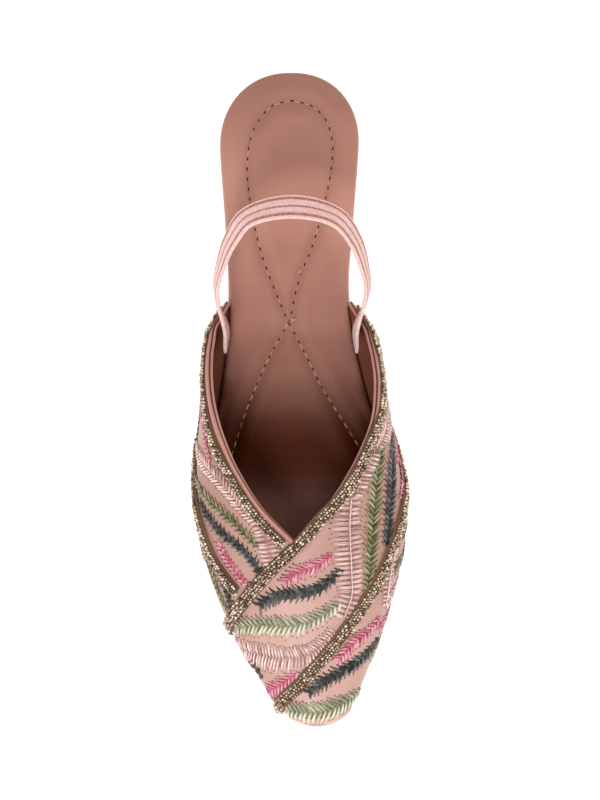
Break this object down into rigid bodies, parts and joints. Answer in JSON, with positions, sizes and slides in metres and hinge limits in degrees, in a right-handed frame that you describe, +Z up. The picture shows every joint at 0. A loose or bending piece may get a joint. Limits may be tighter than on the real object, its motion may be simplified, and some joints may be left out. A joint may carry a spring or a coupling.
{
  "type": "slingback flat shoe",
  "caption": "Right-foot pointed slingback flat: hollow V-throat upper with bead trims and leaf embroidery, padded footbed, low-heeled unit sole and an elastic heel strap.",
  "frame": {"origin": "on the floor, under the middle of the bounding box", "axes": "+X towards the inner side of the foot, +Y towards the heel, +Z up"},
  "size_m": [0.0884, 0.262, 0.0636],
  "materials": {
    "sole_rubber": "satin moulded rubber",
    "footbed_cover": "soft satin cover",
    "upper_leather": "satin with embroidery",
    "binding_leather": "satin folded edge",
    "bead_trim": "champagne faceted beads",
    "elastic_band": "woven elastic"
  },
  "bodies": {
    "root": {"outsole": "sole_rubber", "insole": "footbed_cover", "upper": "upper_leather", "topline_binding": "binding_leather", "trim_wrap": "bead_trim", "trim_lateral_collar": "bead_trim", "trim_toe": "bead_trim", "trim_lateral_side": "bead_trim", "sling_strap": "elastic_band"}
  },
  "joints": []
}
